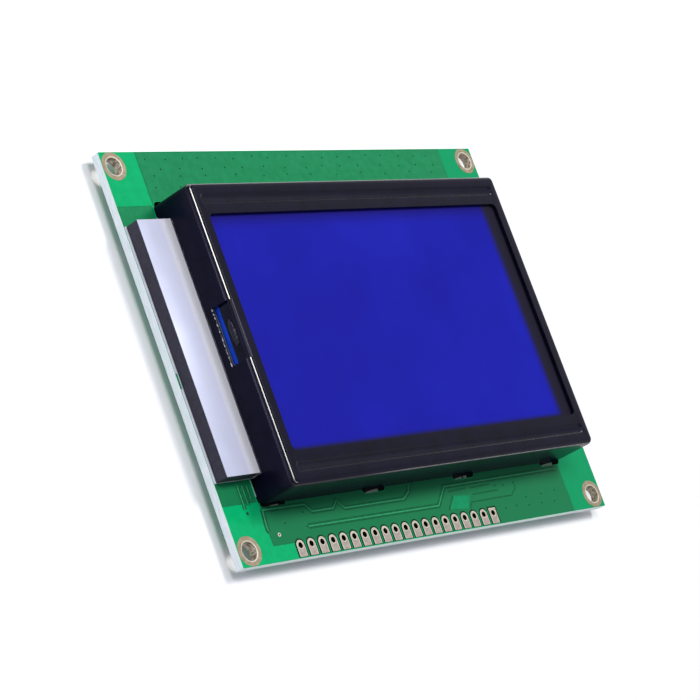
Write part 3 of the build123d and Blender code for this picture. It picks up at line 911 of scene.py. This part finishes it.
black_glaze = mottled(
    "black_glaze", (16, 16, 18), (34, 34, 36), grain=0.4 * mm, roughness=0.3,
    bump=(0.006 * mm, 0.4 * mm),
)
ceramic_white = mottled(
    "ceramic_white", (196, 196, 190), (222, 222, 218), grain=0.3 * mm, roughness=0.5,
)
tan_ceramic = mottled(
    "tan_ceramic", (132, 98, 60), (166, 126, 84), grain=0.25 * mm, roughness=0.5,
    bump=(0.008 * mm, 0.25 * mm),
)
for kind, finishes, slot in (
    ("resistor", [ceramic_white, black_glaze], "black_ceramic"),
    ("capacitor", [tan_ceramic], "tan_ceramic"),
):
    bodies = show(body_bm[kind], f"{kind}_row_bodies", finishes, 30)
    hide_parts(f"{kind}_bodies")
    ends = show(cap_bm[kind], f"{kind}_row_ends", [solder_finish], 30)
    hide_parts(f"{kind}_end_caps")
joints = show(joint_bm, "solder_joints", [solder_finish], 30)

# Amplifier: a small-outline chip in black moulding compound, with a round dimple at its first
# lead and seven gull-wing leads a side, each soldered to a tinned pad.
amp_low, amp_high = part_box("amplifier_body")
lead_pitch = 1.27 * mm
lead_columns = 7
lead_pad = (0.62 * mm, 1.5 * mm)
lead_pad_y = 2.9 * mm
dimple_spot = (amp_low.x + 1.0 * mm, amp_low.y + 0.9 * mm, amp_low.z)
dimple_radii = (0.42 * mm, 0.38 * mm)
dimple_depth = 0.02 * mm


def repaint(node, material):
    """Give a carried-over solid its finish."""
    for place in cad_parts[node].material_slots:
        place.material = material


amp_bm = bmesh.new()
block(amp_bm, amp_low, amp_high, round_by=0.14 * mm)
bmesh.ops.create_cone(
    amp_bm, cap_ends=True, segments=24, radius1=dimple_radii[0], radius2=dimple_radii[1],
    depth=dimple_depth, matrix=Matrix.Translation(dimple_spot),
)
mould = mottled(
    "moulding_compound", (24, 24, 26), (44, 44, 46), grain=0.25 * mm, roughness=0.55,
    bump=(0.01 * mm, 0.12 * mm),
)
amp = show(amp_bm, "amplifier_case", [mould], 30)
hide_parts("amplifier_body")
repaint("amplifier_leads", bright_tin_and_highlight)
lead_bm = bmesh.new()
amp_centre = (amp_low + amp_high) / 2
for i in range(lead_columns):
    x = amp_centre.x + (i - (lead_columns - 1) / 2) * lead_pitch
    for side in (-1, 1):
        flat_pad(lead_bm, x, amp_centre.y + side * lead_pad_y, lead_pad)
lead_pads = show(lead_bm, "amplifier_pads", [solder_finish], 30)

# Behind the cell: a clear light guide in a white frame, on a white film and under a bluish
# diffuser, lit from the left by LEDs on a narrow strip board. Two rubber connector strips
# press the cell's edges onto rows of gilt contacts on the board.
frame_white = mottled(
    "frame_white", (222, 222, 224), (240, 240, 242), grain=1.5 * mm, roughness=0.5,
    bump=(0.01 * mm, 0.4 * mm),
)
film_white = mottled(
    "film_white", (228, 230, 236), (250, 250, 255), grain=1.5 * mm, roughness=0.45,
)
guide_clear = mottled(
    "guide_clear", (206, 214, 224), (232, 238, 246), grain=4 * mm, roughness=0.12,
)
diffuser_blue = mottled(
    "diffuser_blue", (22, 66, 190), (34, 92, 232), grain=2.5 * mm, roughness=0.5, gloss=0.15,
)
led_white = mottled("led_white", (226, 214, 150), (240, 236, 222), grain=0.9 * mm, roughness=0.4)
gold = mottled(
    "gold_flash", (186, 140, 60), (222, 178, 96), grain=0.4 * mm, roughness=0.3, Metallic=0.8,
)
pin_tin = mottled(
    "pin_tin", (140, 140, 142), (190, 190, 192), grain=0.5 * mm, roughness=0.3, Metallic=0.7,
)
rubber = mottled(
    "rubber_strip", (150, 146, 140), (186, 180, 172), grain=0.3 * mm, roughness=0.7,
    bump=(0.01 * mm, 0.3 * mm),
)
for node, finish in (
    ("backlight_frame", frame_white),
    ("reflector_film", film_white),
    ("light_guide", guide_clear),
    ("diffuser_plate", diffuser_blue),
    ("led_board", mask),
    ("leds", led_white),
    ("contact_fingers", gold),
    ("backlight_pins", pin_tin),
    ("upper_connector_strip", rubber),
    ("lower_connector_strip", rubber),
):
    repaint(node, finish)

# Solder joints of the two backlight pins: where each pin comes out at the board's back, the
# tin has wicked up round it in a hollow cone.
joint_profile = (
    (1.0, 0.0), (0.98, 0.05), (0.76, 0.13), (0.54, 0.32), (0.42, 0.58), (0.36, 0.82), (0.3, 0.9),
    (0.0, 0.9),
)
pin_joint_bm = bmesh.new()
for spot in pin_spots:
    turned(pin_joint_bm, spot, joint_profile, 32)
bmesh.ops.remove_doubles(pin_joint_bm, verts=pin_joint_bm.verts, dist=0.01 * mm)
pin_joints = show(pin_joint_bm, "pin_joints", [solder_finish], 50)
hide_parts("backlight_solder")

# Light bar: a dark moulded channel over the LEDs, with a strip of satin silver tape along its
# top that keeps the light in. The white reflector film shows as a thin line at its foot.
bar_low, bar_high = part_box("light_bar_housing")
tape_low, tape_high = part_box("light_bar_tape")
bar_wall = 0.6 * mm
bar_edge_round = 0.09 * mm


def soften(piece, width, limit):
    """Round the edges of a piece that turn by more than a limit in degrees."""
    rounding = piece.modifiers.new("edge_round", "BEVEL")
    rounding.width = width
    rounding.segments = 2
    rounding.limit_method = "ANGLE"
    rounding.angle_limit = math.radians(limit)
    return rounding


bar_bm = bmesh.new()
block(bar_bm, bar_low, bar_high)
open_sides = [face for face in bar_bm.faces if face.normal.z < -0.5 or face.normal.x > 0.5]
bmesh.ops.delete(bar_bm, geom=open_sides, context="FACES_ONLY")
bmesh.ops.delete(
    bar_bm, geom=[edge for edge in bar_bm.edges if not edge.link_faces], context="EDGES"
)
bar_plastic = mottled(
    "bar_plastic", (40, 39, 52), (51, 50, 63), grain=0.8 * mm, roughness=0.42,
    bump=(0.008 * mm, 0.2 * mm), gloss=0.2,
)
bar = show(bar_bm, "light_bar_channel", [bar_plastic], 30)
bar_shell = bar.modifiers.new("wall", "SOLIDIFY")
bar_shell.thickness = bar_wall
bar_shell.offset = -1
bar_shell.use_even_offset = True
soften(bar, bar_edge_round, 40)
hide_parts("light_bar_housing")

tape_round = 0.025 * mm
# The tape is painted lighter towards the bezel wall: painted light that fills the wall's shade on
# it.
tape_painted_light = (
    ("X", -44.0 * mm, -41.4 * mm, (201, 205, 227)),
    ("X", -41.6 * mm, -39.9 * mm, (248, 250, 255)),
)
tape_bm = bmesh.new()
block(tape_bm, tape_low, tape_high, round_by=tape_round)
# The tape's sides that face the left and the front are painted dark navy: painted shade.
for face in tape_bm.faces:
    if face.normal.x < -0.5 or face.normal.y < -0.5:
        face.material_index = 1
tape_silver = mottled(
    "tape_silver", (187, 192, 213), (199, 204, 226), grain=6 * mm, roughness=0.42,
    bump=(0.002 * mm, 0.3 * mm), gloss=0.2, Metallic=0.12,
)
faded(tape_silver, tape_painted_light)
tape_side_painted_shade = mottled("tape_side_painted_shade", (12, 12, 34), (30, 30, 70), grain=0.6 * mm, roughness=0.4)
tape = show(tape_bm, "silver_tape", [tape_silver, tape_side_painted_shade], 30)
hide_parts("light_bar_tape")

# Display cell: two glasses with the liquid crystal between them and a matt polarising film on
# the front. Switched off it is a deep blue that fades to charcoal at the right and the foot,
# where the lit area ends, and it is painted a little duller under the bezel's upper border:
# painted shade of that border.
film_blue = (32, 36, 168)
film_blue_deep = (28, 30, 152)
film_painted_shade = (30, 24, 92)
film_charcoal = (36, 34, 48)
film_fades = (
    ("Y", 17.0 * mm, 21.5 * mm, film_painted_shade),
    ("X", 31.9 * mm, 34.1 * mm, film_charcoal),
    ("Y", -18.9 * mm, -20.1 * mm, film_charcoal),
)
film = mottled(
    "blue_film", film_blue_deep, film_blue, grain=20 * mm, roughness=0.5,
    bump=(0.0015 * mm, 0.12 * mm), gloss=0.02,
)
faded(film, film_fades)
repaint("front_polariser", film)
repaint("rear_polariser", film)
glass_edge = mottled(
    "glass_edge", (3, 4, 10), (16, 18, 40), grain=1.2 * mm, roughness=0.1,
    bump=(0.01 * mm, 0.8 * mm), gloss=0.12,
)
repaint("front_glass", glass_edge)
repaint("rear_glass", glass_edge)

# Fill-port seal: a bead of clear resin, laid over the port in the cell's left edge after the
# filling and cured there. It shows through the notch in the bezel.
seal_low, seal_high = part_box("fill_port_seal")
seal_centre = (seal_low + seal_high) / 2
seal_squareness = 0.7
seal_waver = 0.12
seal_waver_turn = 1.7
seal_half_share = 0.44
seal_bm = bmesh.new()
seal_verts = bmesh.ops.create_uvsphere(seal_bm, u_segments=48, v_segments=24, radius=1.0)["verts"]
for vert in seal_verts:
    for axis in (1, 2):
        vert.co[axis] = math.copysign(abs(vert.co[axis]) ** seal_squareness, vert.co[axis])
    vert.co *= 1 + seal_waver * noise.noise(vert.co * seal_waver_turn)
bmesh.ops.scale(
    seal_bm, verts=seal_verts,
    vec=(
        seal_high.x - seal_low.x,
        seal_half_share * (seal_high.y - seal_low.y),
        seal_half_share * (seal_high.z - seal_low.z),
    ),
)
bmesh.ops.translate(seal_bm, verts=seal_verts, vec=(seal_high.x, seal_centre.y, seal_centre.z))
cut_back(seal_bm, seal_high, (1, 0, 0))
seal_resin = mottled(
    "seal_resin", (6, 6, 16), (18, 19, 42), grain=1.0 * mm, roughness=0.06,
    bump=(0.12 * mm, 0.6 * mm), gloss=0.28,
)
seal = show(seal_bm, "port_seal", [seal_resin], 50)
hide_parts("fill_port_seal")

# Bezel: one sheet of steel, folded down on four sides and stove-painted black, with a window,
# a pressed groove along each long border, and a notch and a mouth in its left wall. The paint
# is stretched on the folds, and bare steel shows at the notch, dotted with painted glints. A
# painted highlight runs along the foot of the left wall, a painted grey reflection along the
# front fold, and a band beside the left fold's bright line is painted dark as shade.
bezel_low, bezel_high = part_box("bezel")
bezel_length = bezel_high.x - bezel_low.x
bezel_width = 51.2 * mm
bezel_top = bezel_high.z
sheet = 0.5 * mm
bend = 1.0 * mm
bezel_corner = 1.05 * mm
window_size = (72.4 * mm, 40.2 * mm)
window_corner = 1.0 * mm
groove_length = 73.6 * mm
groove_y = 22.7 * mm
groove_half = 0.95 * mm
groove_floor_half = 0.5 * mm
groove_depth = 0.3 * mm
notch_y = (-4.2 * mm, 5.6 * mm)
notch_z = (board_top + 4.4 * mm, board_top + 8.0 * mm)
mouth_y = (-21.35 * mm, 22.15 * mm)
mouth_z = board_top + 2.95 * mm
bend_angles = (11.25, 22.5, 29, 39, 48, 56.25, 67.5, 78.75, 90)
groove_steps = 8
foot_z = board_top + 0.15 * mm
foot_reach = (-24.2 * mm, 23.4 * mm)
burr_glint_contrast = (0.47, 0.53)
inner_edge_x = (bezel_low.x + 0.2 * mm, bezel_low.x + 0.26 * mm)
inner_edge_tone = (10, 9, 18)
near_highlight_fade_x = (-10 * mm, -24 * mm)
near_highlight_fade_tone = (20, 20, 32)
skin = 0.1 * mm
wall_depth = 1.1 * sheet
rim_reach = 0.05 * mm
bezel_edge_round = 0.07 * mm
glint_tilt = (29, 39)
fold_shade_tilt = (12, 29)
violet_tilt = (67, 79)
near_fold_tilt = (56, 66)
far_fold_tilt = (39, 67)
on_glint, on_rim, on_foot_highlight, on_near_fold_highlight, on_violet, on_fold_shade = range(1, 7)

bezel_bm = bmesh.new()
crest = round_loop(
    bezel_bm, (0, 0), (bezel_length - 2 * bend, bezel_width - 2 * bend),
    bezel_corner - bend, bezel_top,
)
window = round_loop(bezel_bm, (0, 0), window_size, window_corner, bezel_top)
groove_mouths = []
for side in (-1, 1):
    levels = []
    for i in range(groove_steps + 1):
        share = i / groove_steps
        half = groove_half + (groove_floor_half - groove_half) * share
        depth = groove_depth * (1 - math.cos(math.pi * share)) / 2
        levels.append(
            round_loop(
                bezel_bm, (0, side * groove_y),
                (groove_length - 2 * (groove_half - half), 2 * half), half,
                bezel_top - depth, 32,
            )
        )
    groove_mouths.append(levels[0])
    for upper, lower in zip(levels, levels[1:]):
        bmesh.ops.bridge_loops(bezel_bm, edges=upper + lower)
    bmesh.ops.contextual_create(bezel_bm, geom=levels[-1])
face_edges = crest + window + groove_mouths[0] + groove_mouths[1]
bmesh.ops.triangle_fill(bezel_bm, use_beauty=True, edges=face_edges, normal=(0, 0, 1))
upper = crest
for angle in bend_angles:
    turn = math.radians(angle)
    reach = 2 * bend * (1 - math.sin(turn))
    lower = round_loop(
        bezel_bm, (0, 0), (bezel_length - reach, bezel_width - reach),
        bezel_corner - reach / 2, bezel_top - bend * (1 - math.cos(turn)),
    )
    bmesh.ops.bridge_loops(bezel_bm, edges=upper + lower)
    upper = lower
foot = round_loop(bezel_bm, (0, 0), (bezel_length, bezel_width), bezel_corner, board_top)
bmesh.ops.bridge_loops(bezel_bm, edges=upper + foot)


def between(value, limits):
    """Whether a value lies inside two limits."""
    return limits[0] < value < limits[1]


def left_wall():
    """The faces of the bezel's left wall and fold, with their edges and corners."""
    edge_x = -bezel_length / 2 + bend
    faces = [
        face for face in bezel_bm.faces
        if face.calc_center_median().x < edge_x + 0.01 * mm
        and all(vert.co.x < edge_x + 0.01 * mm for vert in face.verts)
    ]
    edges = {edge for face in faces for edge in face.edges}
    return faces + list(edges) + list({vert for edge in edges for vert in edge.verts})


wall_cuts = [(y, 1) for y in notch_y + mouth_y] + [(z, 2) for z in notch_z + (mouth_z,)]
wall_cuts += [(y, 1) for y in foot_reach] + [(foot_z, 2)]
for place, axis in wall_cuts:
    level, normal = [0, 0, 0], [0, 0, 0]
    level[axis], normal[axis] = place, 1
    bmesh.ops.bisect_plane(
        bezel_bm, geom=left_wall(), plane_co=level, plane_no=normal, dist=0.0001 * mm
    )
openings = []
for part in left_wall():
    if isinstance(part, bmesh.types.BMFace):
        middle = part.calc_center_median()
        in_notch = between(middle.y, notch_y) and between(middle.z, notch_z)
        in_mouth = between(middle.y, mouth_y) and middle.z < mouth_z
        if in_notch or in_mouth:
            openings.append(part)
bmesh.ops.delete(bezel_bm, geom=openings, context="FACES")

bmesh.ops.recalc_face_normals(bezel_bm, faces=bezel_bm.faces)
if max(bezel_bm.faces, key=lambda face: face.calc_area()).normal.z < 0:
    bmesh.ops.reverse_faces(bezel_bm, faces=bezel_bm.faces)
for face in bezel_bm.faces:
    spot = face.calc_center_median()
    tilt = math.degrees(math.acos(min(1, abs(face.normal.z))))
    on_left = spot.x < -window_size[0] / 2 and spot.z > bezel_top - bend
    by_notch = between(spot.y, notch_y)
    in_left_skin = not on_left and spot.x < -bezel_length / 2 + skin
    if on_left and between(tilt, glint_tilt) and not by_notch:
        face.material_index = on_glint
    if on_left and between(tilt, fold_shade_tilt) and not by_notch:
        face.material_index = on_fold_shade
    if face.normal.y > 0.5 and between(tilt, far_fold_tilt):
        face.material_index = on_glint
    if on_left and between(tilt, violet_tilt):
        face.material_index = on_violet
    if face.normal.y < -0.5 and between(tilt, near_fold_tilt):
        face.material_index = on_near_fold_highlight
    if in_left_skin and spot.z < foot_z and between(spot.y, foot_reach):
        face.material_index = on_foot_highlight

paint = mottled(
    "black_paint", (11, 10, 24), (18, 17, 36), grain=3.0 * mm, roughness=0.24,
    bump=(0.004 * mm, 0.16 * mm), gloss=0.09,
)
shader_of(paint).inputs["Specular Tint"].default_value = (0.76, 0.76, 1.0, 1)
paint_fold = mottled(
    "stretched_paint", (14, 13, 22), (24, 22, 34), grain=2.0 * mm, roughness=0.18,
    bump=(0.002 * mm, 0.16 * mm), gloss=1.0, IOR=1.8,
)
# A band of the left fold beside its bright line, painted darker and duller: painted shade.
fold_painted_shade = mottled(
    "fold_painted_shade", (8, 8, 16), (12, 11, 22), grain=2.0 * mm, roughness=0.5,
    bump=(0.002 * mm, 0.16 * mm), gloss=0.03,
)
# Bare steel at the notch's lower edge, dotted with pure white painted glints on its burrs, and
# darker towards the wall's inside.
cut_steel_and_glints = mottled(
    "cut_steel_and_glints", (20, 18, 30), (255, 255, 255), grain=0.6 * mm, roughness=0.4,
    bump=(0.02 * mm, 0.2 * mm), gloss=0.5,
)
cut_tones = cut_steel_and_glints.node_tree.nodes["Color Ramp"].color_ramp.elements
cut_tones[0].position, cut_tones[1].position = burr_glint_contrast
faded(cut_steel_and_glints, (("X", *inner_edge_x, inner_edge_tone),))
violet_fold = mottled(
    "violet_fold", (14, 13, 26), (22, 20, 40), grain=2.0 * mm, roughness=0.16,
    bump=(0.002 * mm, 0.16 * mm), gloss=0.17,
)
# A near-white strip along the foot of the left wall: painted highlight of the sheet's edge.
foot_painted_highlight = mottled(
    "foot_painted_highlight", (186, 190, 188), (240, 244, 240), grain=0.8 * mm, roughness=0.4,
    bump=(0.01 * mm, 0.3 * mm),
)
# A grey band on the front fold, fading out towards the left: painted reflection of the floor.
near_fold_painted_highlight = mottled(
    "near_fold_painted_highlight", (110, 112, 112), (150, 152, 150), grain=1.4 * mm, roughness=0.5, gloss=0.3,
)
faded(near_fold_painted_highlight, (("X", *near_highlight_fade_x, near_highlight_fade_tone),))
bmesh.ops.solidify(bezel_bm, geom=list(bezel_bm.faces), thickness=sheet)
bezel_bm.normal_update()
for face in bezel_bm.faces:
    spot = face.calc_center_median()
    in_wall = spot.x < -bezel_length / 2 + wall_depth
    in_height = abs(spot.z - notch_z[0]) < rim_reach
    in_reach = notch_y[0] - rim_reach < spot.y < notch_y[1] + rim_reach
    if in_wall and in_height and in_reach and abs(face.normal.z) > 0.7:
        face.material_index = on_rim
bezel_finishes = [
    paint, paint_fold, cut_steel_and_glints, foot_painted_highlight, near_fold_painted_highlight, violet_fold, fold_painted_shade
]
bezel = show(bezel_bm, "bezel_shell", bezel_finishes, 16)
soften(bezel, bezel_edge_round, 50).harden_normals = True
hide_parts("bezel")

# Tabs: blades left on the bezel's long walls, pushed through the board's slots and twisted
# on the far side to clamp the bezel down.
tab_width = 3.8 * mm
tab_tip = bezel_low.z
tab_twist = math.radians(40)
twist_start = board_top - 0.5 * mm
twist_ease = 1.6
tab_cuts = 11
tabs_bm = bmesh.new()
for x in tab_columns_x:
    for side in (-1, 1):
        blade_bm = bmesh.new()
        bmesh.ops.create_cube(blade_bm, size=1.0)
        bmesh.ops.scale(
            blade_bm, verts=blade_bm.verts, vec=(tab_width, sheet, board_top - tab_tip)
        )
        middle = (0, 0, (board_top + tab_tip) / 2)
        bmesh.ops.translate(blade_bm, verts=blade_bm.verts, vec=middle)
        uprights = [
            edge for edge in blade_bm.edges
            if abs(edge.verts[0].co.z - edge.verts[1].co.z) > 1 * mm
        ]
        bmesh.ops.subdivide_edges(blade_bm, edges=uprights, cuts=tab_cuts, use_grid_fill=True)
        for vert in blade_bm.verts:
            share = min(1, max(0, (twist_start - vert.co.z) / (twist_start - tab_tip)))
            vert.co = Matrix.Rotation(tab_twist * share ** twist_ease, 4, "Z") @ vert.co
        bmesh.ops.translate(blade_bm, verts=blade_bm.verts, vec=(x, side * tab_rows_y, 0))
        join(tabs_bm, blade_bm)
raw_steel = mottled(
    "tab_steel", (4, 5, 6), (44, 46, 48), grain=1.6 * mm, roughness=0.45,
    bump=(0.01 * mm, 0.2 * mm), gloss=0.2,
)
tabs = show(tabs_bm, "bezel_tabs", [raw_steel], 35)
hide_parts("bezel")
